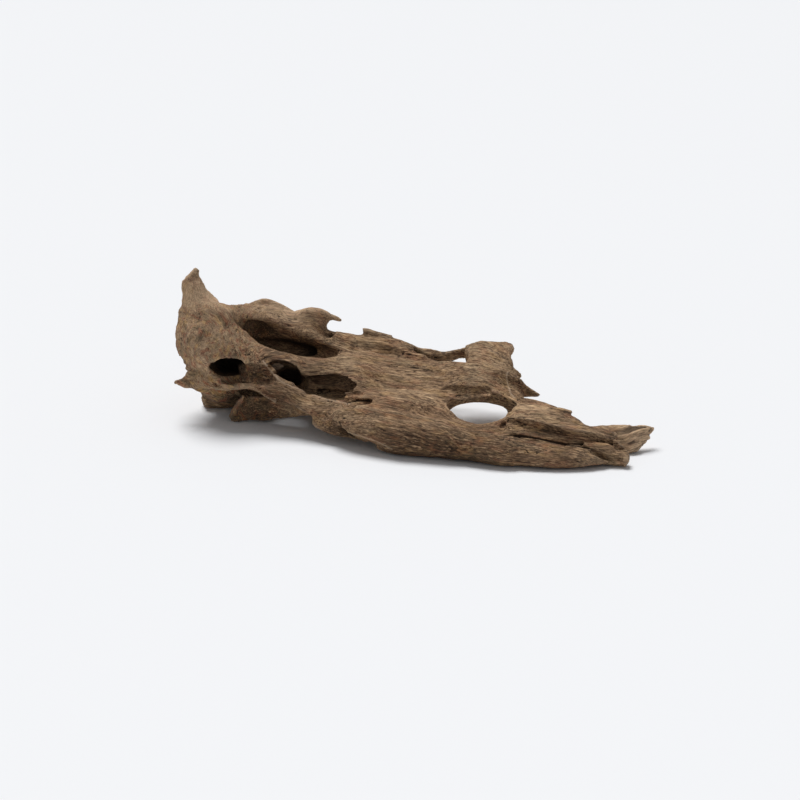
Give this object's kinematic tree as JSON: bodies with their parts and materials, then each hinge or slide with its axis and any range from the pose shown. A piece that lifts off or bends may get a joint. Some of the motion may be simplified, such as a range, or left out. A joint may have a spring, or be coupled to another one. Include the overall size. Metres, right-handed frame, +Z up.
{
  "type": "dragon driftwood root",
  "caption": "Water-worn piece of root wood lying low, with a horned burl at one end, a fin and a split tail, hollowed out and pierced by a large through hole.",
  "frame": {"origin": "middle of the bounding box, on the surface that the root rests on", "axes": "+X along the root's length, from the horned burl to the tail; +Y away from the broad side that shows the bridge and the hollows; +Z up"},
  "size_m": [0.3324, 0.1182, 0.1022],
  "materials": {
    "driftwood": "bare, dry and weathered, with the grain raised"
  },
  "bodies": {
    "root": {"driftwood_root": "driftwood"}
  },
  "joints": []
}
